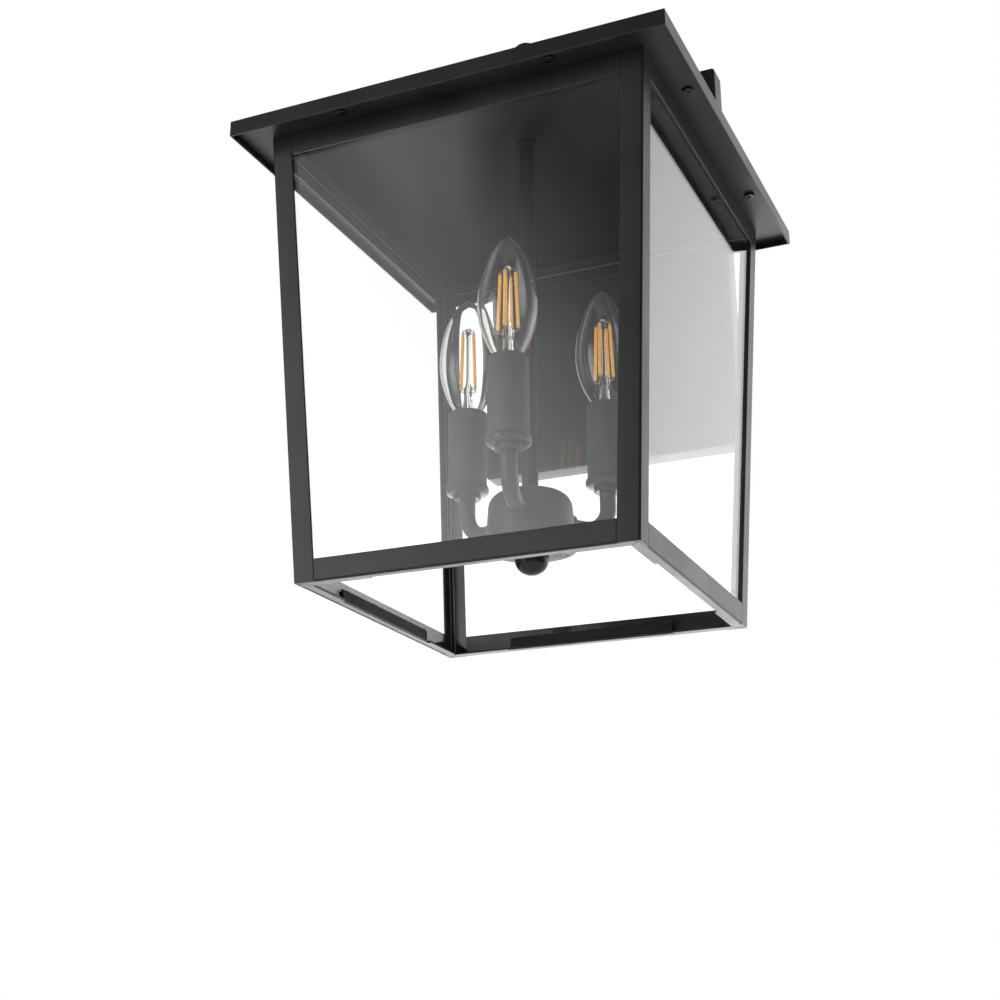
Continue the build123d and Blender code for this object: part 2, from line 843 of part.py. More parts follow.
# Supply lead: from the pan through the arm and down the stem into the canister
def make_supply_lead():
    frame = Plane(origin=(0, 0, 0), x_dir=(0, 1, 0), z_dir=(1, 0, 0))
    pigtail_y = -plate_depth / 2
    end = cage_z + candle_arm_height
    points = [(pigtail_y, -lead_pigtail), (pigtail_y, 0), (axis_y, 0), (axis_y, end)]
    bend = min(lead_bend, plate_depth / 2)
    save(make_lead(frame, points, bend), "supply_lead")


# Socket leads: from the splice in the canister through each arm into its socket
def make_socket_leads():
    leads = []
    for azimuth in candles.values():
        top = cup_top + socket_floor / 2
        points = [
            (lead_splice_radius, candle_arm_height),
            (candle_radius, candle_arm_height),
            (candle_radius, top),
        ]
        leads.append(make_lead(radial(azimuth), points, candle_arm_bend))
    save(Compound(children=leads), "socket_leads")


make_wall_plate()
make_mounting_bar()
make_plate_studs()
make_cap_nuts()
make_ground_screw()
make_bracket_arm()
make_stem()
make_top_finial()
make_roof_spacer()
make_stem_ring()
make_roof_shell()
make_soffit_frame()
make_soffit_screws()
for corner, corner_turn in corners.items():
    make_corner_post(corner, corner_turn)
for side, side_turn in sides.items():
    make_bottom_rail(side, side_turn)
    make_top_rail(side, side_turn)
    make_glass_pane(side, side_turn)
make_glass_strips()
make_canister()
make_canister_cover()
make_arm_nuts()
for candle, candle_azimuth in candles.items():
    make_candle_arm(candle, candle_azimuth)
    make_cup(candle, candle_azimuth)
    make_sleeve(candle, candle_azimuth)
    make_socket(candle, candle_azimuth)
    make_bulb_cap(candle, candle_azimuth)
    make_bulb_glass(candle, candle_azimuth)
    make_bulb_filament(candle, candle_azimuth)
make_supply_lead()
make_socket_leads()
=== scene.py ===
import json
from math import cos, pi, radians, sin

import bmesh
import bpy
from mathutils import Matrix, Vector


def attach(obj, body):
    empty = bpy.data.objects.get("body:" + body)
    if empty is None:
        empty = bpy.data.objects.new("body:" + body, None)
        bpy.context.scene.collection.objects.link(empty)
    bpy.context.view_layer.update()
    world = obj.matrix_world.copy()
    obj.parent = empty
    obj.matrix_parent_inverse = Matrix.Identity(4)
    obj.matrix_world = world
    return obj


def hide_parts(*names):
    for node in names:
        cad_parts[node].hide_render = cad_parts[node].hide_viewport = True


# Square glass lantern on a wall bracket. Lengths in the dictionaries are millimetres.
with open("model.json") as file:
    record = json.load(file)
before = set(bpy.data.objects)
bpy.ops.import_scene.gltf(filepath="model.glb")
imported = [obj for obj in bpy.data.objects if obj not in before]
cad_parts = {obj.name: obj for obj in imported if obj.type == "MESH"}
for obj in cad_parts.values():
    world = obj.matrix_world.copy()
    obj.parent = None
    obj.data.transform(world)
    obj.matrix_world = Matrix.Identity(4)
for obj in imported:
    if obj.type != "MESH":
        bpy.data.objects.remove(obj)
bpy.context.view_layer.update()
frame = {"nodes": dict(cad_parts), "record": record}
scene = bpy.context.scene
mm = 0.001
bodyOf = {
    node: body
    for body, nodes in frame["record"]["behaviour"]["bodies"].items()
    for node in nodes
}
print("frame loaded:", len(frame["nodes"]), "nodes")

# The hanging lantern: its upright axis, and where the underside of the glass cage is
lantern = {"axisY": -148.6, "cageZ": -330.0}
candles = {"front": -80.5, "right": 49.5, "left": 159.5}  # azimuths about the axis
candleRadius = 50.4


# Centre of a candle's axis at the height of the cage's underside
def candleFoot(candle):
    azimuth = radians(candles[candle])
    return Vector((
        candleRadius * cos(azimuth) * mm,
        (lantern["axisY"] + candleRadius * sin(azimuth)) * mm,
        lantern["cageZ"] * mm,
    ))


camera = {
    "place": (0.3199, -0.9237, -0.5486), "tilt": 110.82, "turn": 24.19,
    "lens": 56.2, "sensor": 36, "shift": (0.0145, -0.0625), "sees": (0.01, 60),
}


def makeCamera():
    data = bpy.data.cameras.new("camera")
    data.sensor_width = camera["sensor"]
    data.lens = camera["lens"]
    data.shift_x, data.shift_y = camera["shift"]
    data.clip_start, data.clip_end = camera["sees"]
    eye = bpy.data.objects.new("camera", data)
    eye.location = camera["place"]
    eye.rotation_euler = (radians(camera["tilt"]), 0, radians(camera["turn"]))
    scene.collection.objects.link(eye)
    scene.camera = eye


makeCamera()
print("camera set")


def newMaterial(name):
    material = bpy.data.materials.new(name)
    material.use_nodes = True
    tree = material.node_tree
    return material, tree.nodes, tree.links, tree.nodes["Principled BSDF"]


def newGroup(name, inputs, outputs):
    group = bpy.data.node_groups.new(name, "ShaderNodeTree")
    for label, kind, value in inputs:
        socket = group.interface.new_socket(name=label, in_out="INPUT", socket_type=kind)
        socket.default_value = value
    for label, kind in outputs:
        group.interface.new_socket(name=label, in_out="OUTPUT", socket_type=kind)
    return group, group.nodes.new("NodeGroupInput"), group.nodes.new("NodeGroupOutput")


# Fine grain of a sprayed or moulded surface, with slow unevenness
def makeCoatGrain():
    group, inside, out = newGroup(
        "coatGrain",
        [("Grain Scale", "NodeSocketFloat", 1400.0), ("Patch Scale", "NodeSocketFloat", 30.0)],
        [("Grain", "NodeSocketFloat"), ("Patches", "NodeSocketFloat")],
    )
    nodes, links = group.nodes, group.links
    place = nodes.new("ShaderNodeTexCoord")
    grain = nodes.new("ShaderNodeTexNoise")
    grain.inputs["Detail"].default_value = 2.0
    grain.inputs["Roughness"].default_value = 0.6
    patches = nodes.new("ShaderNodeTexNoise")
    patches.inputs["Detail"].default_value = 3.0
    spread = nodes.new("ShaderNodeMapRange")
    spread.inputs["From Min"].default_value = 0.32
    spread.inputs["From Max"].default_value = 0.68
    for texture, scale in ((grain, "Grain Scale"), (patches, "Patch Scale")):
        links.new(place.outputs["Object"], texture.inputs["Vector"])
        links.new(inside.outputs[scale], texture.inputs["Scale"])
    links.new(patches.outputs["Fac"], spread.inputs["Value"])
    links.new(grain.outputs["Fac"], out.inputs["Grain"])
    links.new(spread.outputs["Result"], out.inputs["Patches"])
    return group


# Long fine lines left by rolling or drawing, along Z
def makeDrawnLines():
    group, inside, out = newGroup(
        "drawnLines",
        [("Across", "NodeSocketVector", (900.0, 900.0, 30.0))],
        [("Lines", "NodeSocketFloat")],
    )
    nodes, links = group.nodes, group.links
    place = nodes.new("ShaderNodeTexCoord")
    stretch = nodes.new("ShaderNodeVectorMath")
    stretch.operation = "MULTIPLY"
    lines = nodes.new("ShaderNodeTexNoise")
    lines.inputs["Scale"].default_value = 1.0
    lines.inputs["Detail"].default_value = 3.0
    links.new(place.outputs["Object"], stretch.inputs[0])
    links.new(inside.outputs["Across"], stretch.inputs[1])
    links.new(stretch.outputs["Vector"], lines.inputs["Vector"])
    links.new(lines.outputs["Fac"], out.inputs["Lines"])
    return group


coatGrain = makeCoatGrain()
drawnLines = makeDrawnLines()


# Grain group with its two scales set
def addGrain(nodes, grainScale, patchScale):
    grain = nodes.new("ShaderNodeGroup")
    grain.node_tree = coatGrain
    grain.inputs["Grain Scale"].default_value = grainScale
    grain.inputs["Patch Scale"].default_value = patchScale
    return grain


# Two close colours, to be mixed in patches
def addColour(nodes, look):
    colour = nodes.new("ShaderNodeMix")
    colour.data_type = "RGBA"
    colour.inputs["A"].default_value = (*look["dark"], 1)
    colour.inputs["B"].default_value = (*look["light"], 1)
    return colour


def addGloss(nodes, look):
    gloss = nodes.new("ShaderNodeMapRange")
    gloss.inputs["To Min"].default_value, gloss.inputs["To Max"].default_value = look["rough"]
    return gloss


# Bump, its depth in millimetres
def addBump(nodes, strength, depth):
    bump = nodes.new("ShaderNodeBump")
    bump.inputs["Strength"].default_value = strength
    bump.inputs["Distance"].default_value = depth * mm
    return bump


# Coated or moulded surface: two close colours in patches, grain as bump
def makeCoated(name, look):
    material, nodes, links, shader = newMaterial(name)
    grain = addGrain(nodes, look["grainScale"], look["patchScale"])
    colour = addColour(nodes, look)
    gloss = addGloss(nodes, look)
    bump = addBump(nodes, look["bump"], look["depth"])
    links.new(grain.outputs["Patches"], colour.inputs["Factor"])
    links.new(grain.outputs["Patches"], gloss.inputs["Value"])
    links.new(grain.outputs["Grain"], bump.inputs["Height"])
    links.new(colour.outputs["Result"], shader.inputs["Base Color"])
    links.new(gloss.outputs["Result"], shader.inputs["Roughness"])
    links.new(bump.outputs["Normal"], shader.inputs["Normal"])
    shader.inputs["Specular IOR Level"].default_value = look.get("specular", 0.5)
    shader.inputs["Coat Weight"].default_value = look.get("coat", 0.0)
    shader.inputs["Coat Roughness"].default_value = 0.12
    return material


# Bare metal with drawn lines
def makeMetal(name, look):
    material, nodes, links, shader = newMaterial(name)
    drawn = nodes.new("ShaderNodeGroup")
    drawn.node_tree = drawnLines
    drawn.inputs["Across"].default_value = look["across"]
    grain = addGrain(nodes, look["grainScale"], look["patchScale"])
    colour = addColour(nodes, look)
    gloss = addGloss(nodes, look)
    bump = addBump(nodes, look["bump"], look["depth"])
    links.new(grain.outputs["Patches"], colour.inputs["Factor"])
    links.new(drawn.outputs["Lines"], gloss.inputs["Value"])
    links.new(drawn.outputs["Lines"], bump.inputs["Height"])
    links.new(colour.outputs["Result"], shader.inputs["Base Color"])
    links.new(gloss.outputs["Result"], shader.inputs["Roughness"])
    links.new(bump.outputs["Normal"], shader.inputs["Normal"])
    shader.inputs["Metallic"].default_value = 1.0
    return material


# Clear glass that casts no dark shadow; faint smears change how sharply it mirrors
def makeGlass(name, look):
    material, nodes, links, shader = newMaterial(name)
    shader.inputs["Base Color"].default_value = (*look["tint"], 1)
    shader.inputs["IOR"].default_value = look["ior"]
    shader.inputs["Transmission Weight"].default_value = 1.0
    grain = addGrain(nodes, look["grainScale"], look["patchScale"])
    gloss = addGloss(nodes, look)
    bump = addBump(nodes, look["bump"], look["depth"])
    links.new(grain.outputs["Patches"], gloss.inputs["Value"])
    links.new(gloss.outputs["Result"], shader.inputs["Roughness"])
    links.new(grain.outputs["Grain"], bump.inputs["Height"])
    links.new(bump.outputs["Normal"], shader.inputs["Normal"])
    light = nodes.new("ShaderNodeLightPath")
    through = nodes.new("ShaderNodeBsdfTransparent")
    through.inputs["Color"].default_value = (*look["tint"], 1)
    choose = nodes.new("ShaderNodeMixShader")
    links.new(light.outputs["Is Shadow Ray"], choose.inputs["Fac"])
    links.new(shader.outputs["BSDF"], choose.inputs[1])
    links.new(through.outputs["BSDF"], choose.inputs[2])
    links.new(choose.outputs["Shader"], nodes["Material Output"].inputs["Surface"])
    return material


powderBlack = makeCoated("powderBlack", {
    "dark": (0.014, 0.0142, 0.0148), "light": (0.021, 0.0212, 0.022), "rough": (0.34, 0.41),
    "grainScale": 1900.0, "patchScale": 26.0, "bump": 0.14, "depth": 0.05,
})
mattBlack = makeCoated("mattBlack", {
    "dark": (0.055, 0.0555, 0.057), "light": (0.066, 0.0665, 0.068), "rough": (0.27, 0.34),
    "grainScale": 2600.0, "patchScale": 45.0, "bump": 0.08, "depth": 0.05,
})
# Darker, duller copy of the black powder coat on the glass strips: painted shade
stripPaintedShadeBlack = makeCoated("stripPaintedShadeBlack", {
    "dark": (0.012, 0.012, 0.0125), "light": (0.017, 0.017, 0.0175), "rough": (0.6, 0.7),
    "grainScale": 2200.0, "patchScale": 60.0, "bump": 0.1, "depth": 0.04, "specular": 0.3,
})
glossBlack = makeCoated("glossBlack", {
    "dark": (0.008, 0.008, 0.0085), "light": (0.012, 0.012, 0.0125), "rough": (0.22, 0.3),
    "grainScale": 1800.0, "patchScale": 90.0, "bump": 0.12, "depth": 0.05,
})
sleeveBlack = makeCoated("sleeveBlack", {
    "dark": (0.068, 0.068, 0.07), "light": (0.08, 0.08, 0.082), "rough": (0.5, 0.58),
    "grainScale": 3200.0, "patchScale": 60.0, "bump": 0.06, "depth": 0.04,
})
socketPlastic = makeCoated("socketPlastic", {
    "dark": (0.03, 0.028, 0.026), "light": (0.045, 0.042, 0.04), "rough": (0.35, 0.48),
    "grainScale": 1200.0, "patchScale": 120.0, "bump": 0.15, "depth": 0.05,
})
leadJacket = makeCoated("leadJacket", {
    "dark": (0.018, 0.018, 0.018), "light": (0.03, 0.03, 0.03), "rough": (0.4, 0.52),
    "grainScale": 1800.0, "patchScale": 140.0, "bump": 0.2, "depth": 0.05,
})
greenCoat = makeCoated("greenCoat", {
    "dark": (0.02, 0.16, 0.06), "light": (0.03, 0.22, 0.08), "rough": (0.3, 0.42),
    "grainScale": 1500.0, "patchScale": 200.0, "bump": 0.1, "depth": 0.03,
})
zincPlate = makeMetal("zincPlate", {
    "dark": (0.5, 0.5, 0.48), "light": (0.66, 0.66, 0.63), "rough": (0.28, 0.45),
    "across": (60.0, 900.0, 900.0), "grainScale": 800.0, "patchScale": 90.0, "bump": 0.15, "depth": 0.05,
})
nickelCap = makeMetal("nickelCap", {
    "dark": (0.62, 0.6, 0.56), "light": (0.74, 0.72, 0.68), "rough": (0.16, 0.3),
    "across": (120.0, 120.0, 1800.0), "grainScale": 800.0, "patchScale": 160.0, "bump": 0.1, "depth": 0.05,
})
brassContact = makeMetal("brassContact", {
    "dark": (0.7, 0.48, 0.2), "light": (0.8, 0.58, 0.28), "rough": (0.22, 0.36),
    "across": (500.0, 500.0, 500.0), "grainScale": 800.0, "patchScale": 300.0, "bump": 0.1, "depth": 0.05,
})
steelWire = makeMetal("steelWire", {
    "dark": (0.5, 0.5, 0.49), "light": (0.7, 0.69, 0.66), "rough": (0.2, 0.34),
    "across": (400.0, 400.0, 2500.0), "grainScale": 800.0, "patchScale": 300.0, "bump": 0.1, "depth": 0.05,
})
paneGlass = makeGlass("paneGlass", {
    "tint": (0.975, 0.99, 0.985), "ior": 1.5, "rough": (0.0, 0.012),
    "grainScale": 60.0, "patchScale": 14.0, "bump": 0.01, "depth": 0.02,
})
bulbClear = makeGlass("bulbClear", {
    "tint": (0.99, 0.99, 0.985), "ior": 1.47, "rough": (0.0, 0.01),
    "grainScale": 60.0, "patchScale": 90.0, "bump": 0.05, "depth": 0.02,
})
mountClear = makeGlass("mountClear", {
    "tint": (0.96, 0.97, 0.965), "ior": 1.5, "rough": (0.02, 0.08),
    "grainScale": 60.0, "patchScale": 500.0, "bump": 0.2, "depth": 0.02,
})
paneEdge = makeCoated("paneEdge", {
    "dark": (0.012, 0.045, 0.034), "light": (0.03, 0.085, 0.066), "rough": (0.1, 0.22),
    "grainScale": 900.0, "patchScale": 160.0, "bump": 0.1, "depth": 0.04, "coat": 0.4,
})

paneChamfer = makeCoated("paneChamfer", {
    "dark": (0.3, 0.37, 0.35), "light": (0.45, 0.52, 0.5), "rough": (0.3, 0.42),
    "grainScale": 2500.0, "patchScale": 160.0, "bump": 0.2, "depth": 0.03,
})


phosphor = {
    "dark": (0.86, 0.36, 0.05), "light": (1.0, 0.56, 0.14), "rough": (0.42, 0.55),
    "grainScale": 2500.0, "patchScale": 700.0, "bump": 0.2, "depth": 0.05, "glow": 0.35,
}


# Yellow phosphor round the light sticks, with a faint painted glow in its own colour; the bulbs are not lit
def makePhosphorWithPaintedGlow():
    material, nodes, links, shader = newMaterial("phosphorStickPaintedGlow")
    grain = addGrain(nodes, phosphor["grainScale"], phosphor["patchScale"])
    colour = addColour(nodes, phosphor)
    gloss = addGloss(nodes, phosphor)
    bump = addBump(nodes, phosphor["bump"], phosphor["depth"])
    links.new(grain.outputs["Patches"], colour.inputs["Factor"])
    links.new(grain.outputs["Patches"], gloss.inputs["Value"])
    links.new(grain.outputs["Grain"], bump.inputs["Height"])
    links.new(colour.outputs["Result"], shader.inputs["Base Color"])
    # The phosphor colour also drives emission: painted glow on the unlit light sticks
    links.new(colour.outputs["Result"], shader.inputs["Emission Color"])
    links.new(gloss.outputs["Result"], shader.inputs["Roughness"])
    links.new(bump.outputs["Normal"], shader.inputs["Normal"])
    shader.inputs["Emission Strength"].default_value = phosphor["glow"]
    return material


phosphorStickPaintedGlow = makePhosphorWithPaintedGlow()
print("materials made")


# A finished bmesh becomes a piece that rides on a body; edges over the angle stay sharp
def finishPiece(bm, name, materials, node, replaced=None, sharpAngle=38):
    for face in bm.faces:
        face.smooth = True
    for edge in bm.edges:
        if len(edge.link_faces) == 2 and edge.calc_face_angle(0) > radians(sharpAngle):
            edge.smooth = False
    mesh = bpy.data.meshes.new(name)
    bm.to_mesh(mesh)
    bm.free()
    for material in materials:
        mesh.materials.append(material)
    piece = bpy.data.objects.new(name, mesh)
    scene.collection.objects.link(piece)
    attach(piece, bodyOf[node])
    if replaced:
        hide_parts(*replaced)
    return piece


joining = {"apart": 0.002, "bend": 0.4, "axisApart": 0.001}  # millimetres and degrees


# Merged copy of a CAD node, its flat faces joined up again
def mergedCopy(node):
    bm = bmesh.new()
    bm.from_mesh(frame["nodes"][node].data)
    bmesh.ops.remove_doubles(bm, verts=bm.verts, dist=joining["apart"] * mm)
    bmesh.ops.dissolve_limit(bm, angle_limit=radians(joining["bend"]), verts=bm.verts, edges=bm.edges)
    return bm


# Rounded edges as a finishing modifier, with the flats kept flat
def roundEdges(piece, width, segments=2, angle=40):
    bevel = piece.modifiers.new("edgeRound", "BEVEL")
    bevel.width = width * mm
    bevel.segments = segments
    bevel.limit_method = "ANGLE"
    bevel.angle_limit = radians(angle)
    bevel.use_clamp_overlap = False
    bevel.harden_normals = True
    return piece


# Same piece as the CAD node, with its edges rounded and a finish on it
def dressedNode(node, name, material, width, segments=2, angle=40):
    piece = finishPiece(mergedCopy(node), name, [material], node, [node])
    return roundEdges(piece, width, segments, angle)


# Solid of revolution about an upright axis through foot, from (radius, height) in millimetres
def spunSolid(outline, foot, steps=48, closed=True):
    bm = bmesh.new()
    verts = [bm.verts.new((radius * mm, 0, height * mm)) for radius, height in outline]
    edges = [bm.edges.new(pair) for pair in zip(verts, verts[1:])]
    if closed:
        edges.append(bm.edges.new((verts[-1], verts[0])))
    bmesh.ops.spin(
        bm, geom=verts + edges, cent=(0, 0, 0), axis=(0, 0, 1), angle=2 * pi, steps=steps, use_merge=True,
    )
    bmesh.ops.remove_doubles(bm, verts=bm.verts, dist=joining["axisApart"] * mm)
    bmesh.ops.recalc_face_normals(bm, faces=bm.faces)
    bmesh.ops.translate(bm, verts=bm.verts, vec=foot)
    return bm


def smoothOut(piece, levels=1):
    modifier = piece.modifiers.new("smoothing", "SUBSURF")
    modifier.levels = modifier.render_levels = levels
    return piece


def camelName(node):
    words = node.split("_")
    return words[0] + "".join(word.capitalize() for word in words[1:])


sheetPieces = {
    "wall_plate": (powderBlack, 0.3), "roof_shell": (powderBlack, 0.35), "soffit_frame": (powderBlack, 0.25),
    "bracket_arm": (powderBlack, 0.4), "stem": (powderBlack, 0.2), "roof_spacer": (powderBlack, 0.4),
    "stem_ring": (powderBlack, 0.3), "top_finial": (glossBlack, 0.3), "glass_strips": (stripPaintedShadeBlack, 0.2),
    "mounting_bar": (zincPlate, 0.25), "plate_studs": (zincPlate, 0.3), "cap_nuts": (glossBlack, 0.3),
    "ground_screw": (greenCoat, 0.3), "arm_nuts": (zincPlate, 0.3), "canister": (mattBlack, 0.25),
    "canister_cover": (mattBlack, 0.25),
    "supply_lead": (leadJacket, 0.1), "socket_leads": (leadJacket, 0.1),
}
for side in ("front", "right", "back", "left"):
    sheetPieces[side + "_top_rail"] = (powderBlack, 0.3)
    sheetPieces[side + "_bottom_rail"] = (powderBlack, 0.3)
for corner in ("front_left", "front_right", "back_right", "back_left"):
    sheetPieces[corner + "_post"] = (powderBlack, 0.3)
for node, (material, width) in sheetPieces.items():
    dressedNode(node, camelName(node), material, width)
print("sheet metal dressed")


# The head's flat is found by its area in square millimetres and its distance from the middle
crossSlot = {"narrow": 0.35, "reach": 1.55, "deep": 0.8, "flatOver": 12.0, "headWithin": 3.2}


# Soffit screws with a cross slot sunk into each head
def makeSoffitScrews():
    bm = mergedCopy("soffit_screws")
    heads = [
        face.calc_center_median() for face in bm.faces
        if face.normal.z < -0.99 and face.calc_area() > crossSlot["flatOver"] * mm * mm
    ]
    narrow, reach = crossSlot["narrow"] * mm, crossSlot["reach"] * mm
    for centre in heads:
        def headFaces(within):
            return [
                face for face in bm.faces
                if face.normal.z < -0.99 and (face.calc_center_median() - centre).length < within
            ]

        for across in (Vector((1, 0, 0)), Vector((0, 1, 0))):
            for offset in (-reach, -narrow, narrow, reach):
                flats = headFaces(crossSlot["headWithin"] * mm)
                edges = list({edge for face in flats for edge in face.edges})
                verts = list({vert for face in flats for vert in face.verts})
                bmesh.ops.bisect_plane(
                    bm, geom=verts + edges + flats, plane_co=centre + across * offset, plane_no=across,
                )
        slot = []
        for face in headFaces(reach):
            middle = face.calc_center_median() - centre
            if min(abs(middle.x), abs(middle.y)) < narrow and max(abs(middle.x), abs(middle.y)) < reach:
                slot.append(face)
        sunk = bmesh.ops.extrude_face_region(bm, geom=slot)["geom"]
        floorVerts = [vert for vert in sunk if isinstance(vert, bmesh.types.BMVert)]
        bmesh.ops.translate(bm, verts=floorVerts, vec=(0, 0, crossSlot["deep"] * mm))
    return finishPiece(bm, "soffitScrews", [glossBlack], "soffit_screws", ["soffit_screws"])


makeSoffitScrews()
print("soffit screws slotted")


paneLook = {"chamfer": 0.4}


# The two large faces stay clear, the edges show green and their chamfers are ground pale
def makePane(side):
    node = side + "_glass_pane"
    bm = mergedCopy(node)
    large = sorted(bm.faces, key=lambda face: face.calc_area())[-2:]
    for face in bm.faces:
        face.material_index = 0 if face in large else 1
    bmesh.ops.bevel(
        bm, geom=list(bm.edges), offset=paneLook["chamfer"] * mm,
        segments=1, profile=0.5, affect="EDGES", material=2,
    )
    return finishPiece(bm, side + "GlassPane", [paneGlass, paneEdge, paneChamfer], node, [node], 20)


for side in ("front", "right", "back", "left"):
    makePane(side)
print("panes made")


ballFinial = {
    "outline": [
        (0, 32.5), (8.3, 32.5), (8.65, 32.1), (9.2, 30.9), (9.6, 29.4), (9.75, 27.6), (9.6, 25.8),
        (9.1, 23.9), (8.1, 22.0), (6.6, 20.4), (4.6, 19.0), (2.4, 18.2), (0, 17.95),
    ],
}
cup = {
    "outline": [
        (3.8, 76.6), (7.2, 76.5), (10.4, 76.6), (12.0, 77.2), (12.65, 78.4), (12.7, 79.6),
        (12.5, 81.0), (11.9, 81.8), (11.0, 82.0), (3.8, 82.0),
    ],
    "ring": [(4.8, 73.6), (7.4, 73.5), (7.9, 74.0), (7.9, 76.6), (4.8, 76.6)],
}
sleeve = {
    "outline": [
        (10.4, 82.0), (11.4, 82.0), (11.4, 90), (11.4, 127.5), (11.25, 127.9), (10.9, 128.0),
        (10.55, 127.9), (10.4, 127.5), (10.4, 90),
    ],
}


def axisFoot():
    return Vector((0, lantern["axisY"] * mm, lantern["cageZ"] * mm))


def makeBallFinial():
    bm = spunSolid(ballFinial["outline"], axisFoot(), closed=False)
    return smoothOut(finishPiece(bm, "ballFinial", [glossBlack], "ball_finial", ["ball_finial"], 70))


def makeCup(candle):
    bm = spunSolid(cup["outline"], candleFoot(candle))
    ring = spunSolid(cup["ring"], candleFoot(candle))
    joined = bpy.data.meshes.new("cupRing")
    ring.to_mesh(joined)
    ring.free()
    bm.from_mesh(joined)
    bpy.data.meshes.remove(joined)
    node = candle + "_cup"
    return roundEdges(finishPiece(bm, candle + "Cup", [mattBlack], node, [node]), 0.25)


def makeSleeve(candle):
    node = candle + "_candle_sleeve"
    bm = spunSolid(sleeve["outline"], candleFoot(candle), 64)
    return finishPiece(bm, candle + "CandleSleeve", [sleeveBlack], node, [node], 60)


makeBallFinial()
for candle in candles:
    makeCup(candle)
    makeSleeve(candle)
    dressedNode(candle + "_candle_arm", candle + "CandleArm", mattBlack, 0.3)
    dressedNode(candle + "_socket", candle + "Socket", socketPlastic, 0.25)
print("candle cluster made")


bulb = {
    "glass": [
        (6.2, 125.7), (6.3, 126.8), (7.3, 128.6), (9.2, 131.4), (11.6, 135.2), (14.3, 142.1),
        (16.6, 149.8), (17.5, 157.8), (17.45, 163.4), (16.8, 170.4), (15.5, 177.1), (13.5, 184.3),
        (11.1, 190.6), (8.4, 195.7), (5.5, 199.7), (2.6, 202.4), (0, 203.3),
    ],
    "wall": 0.7,
    "cap": [
        (0, 105.7), (3.2, 105.7), (5.0, 107.7), (5.35, 108.7), (5.35, 123.9), (5.85, 124.5),
        (5.85, 125.5), (5.6, 125.7), (4.1, 125.7), (4.1, 115.7), (0, 115.7),
    ],
    "threadRadius": 0.6, "threadPitch": 2.54, "threadTurns": 4.6, "threadFoot": 110.3,
    "threadCore": 5.35, "threadReach": 0.8, "threadSteps": 32,
}
stick = {
    "radius": 0.95, "low": 145.6, "high": 180.0, "circleLow": 6.0, "circleHigh": 4.6, "tab": 1.4,
    "turn": {"front": 4.2, "right": -5.8, "left": -20.8}, "count": 4,
}
mount = {
    "flare": [
        (0, 125.8), (4.0, 125.8), (5.2, 126.3), (4.4, 128.6), (3.2, 132.0), (2.7, 136.5), (3.0, 140.0),
        (3.6, 143.0), (3.5, 145.3), (2.2, 146.6), (1.15, 148.2), (1.1, 160), (1.1, 181.6), (1.9, 182.4),
        (2.1, 183.2), (1.7, 184.0), (0, 184.3),
    ],
    "press": (139.0, 147.0), "pressThin": 0.55, "wire": 0.22, "tabRadius": 0.42, "tabInside": 0.5,
    "topBend": (1.2, 1.4), "button": (0.6, 183.2), "lowBend": (3.0, -1.6), "lowEnd": (1.6, 139.0),
    "leadRadius": 0.28, "leadTop": (1.2, 141), "leadFoot": (1.6, 126.3),
}


# Glass envelope, thin all round: the outside is turned and the wall goes inwards
def makeBulbGlass(candle):
    node = candle + "_bulb_glass"
    bm = spunSolid(bulb["glass"], candleFoot(candle), closed=False)
    piece = finishPiece(bm, candle + "BulbGlass", [bulbClear], node, [node], 80)
    wall = piece.modifiers.new("wall", "SOLIDIFY")
    wall.thickness = bulb["wall"] * mm
    wall.offset = -1
    return smoothOut(piece)


# Screw cap: a turned shell with its thread wound round it
def makeBulbCap(candle):
    node = candle + "_bulb_cap"
    bm = spunSolid(bulb["cap"], Vector((0, 0, 0)), closed=False)
    threadStart = [
        bm.verts.new((
            (bulb["threadCore"] + bulb["threadRadius"] * cos(turn) * bulb["threadReach"]) * mm,
            0,
            (bulb["threadFoot"] + bulb["threadRadius"] * sin(turn)) * mm,
        ))
        for turn in (-pi / 2, -pi / 4, 0, pi / 4, pi / 2)
    ]
    threadEdges = [bm.edges.new(pair) for pair in zip(threadStart, threadStart[1:])]
    steps = int(bulb["threadSteps"] * bulb["threadTurns"])
    climb = bulb["threadPitch"] * bulb["threadTurns"] * mm / steps
    bmesh.ops.spin(
        bm, geom=threadStart + threadEdges, cent=(0, 0, 0), axis=(0, 0, 1), dvec=(0, 0, climb),
        angle=2 * pi * bulb["threadTurns"], steps=steps,
    )
    bmesh.ops.recalc_face_normals(bm, faces=bm.faces)
    bmesh.ops.translate(bm, verts=bm.verts, vec=candleFoot(candle))
    return finishPiece(bm, candle + "BulbCap", [nickelCap], node, [node])


# Rod from one point to another; a crown rounds its ends
def rodBetween(bm, start, end, radius, segments=12, crown=0.0):
    start, end = Vector(start), Vector(end)
    along = end - start
    turn = along.to_track_quat("Z", "Y").to_matrix().to_4x4()
    made = bmesh.ops.create_cone(
        bm, cap_ends=True, segments=segments,
        radius1=radius * mm, radius2=radius * mm, depth=along.length * mm,
    )["verts"]
    bmesh.ops.transform(bm, matrix=Matrix.Translation((start + end) / 2 * mm) @ turn, verts=made)
    if crown:
        edges = {edge for vert in made for edge in vert.link_edges}
        rims = [edge for edge in edges if sum(len(face.verts) > 4 for face in edge.link_faces) == 1]
        bmesh.ops.bevel(
            bm, geom=rims, offset=crown * mm, segments=3, profile=0.5, affect="EDGES", material=-1,
        )


def stickEnds(candle, number):
    azimuth = radians(stick["turn"][candle] + 360 / stick["count"] * number)
    across = Vector((cos(azimuth), sin(azimuth), 0))
    low = across * stick["circleLow"] + Vector((0, 0, stick["low"]))
    high = across * stick["circleHigh"] + Vector((0, 0, stick["high"]))
    return low, high


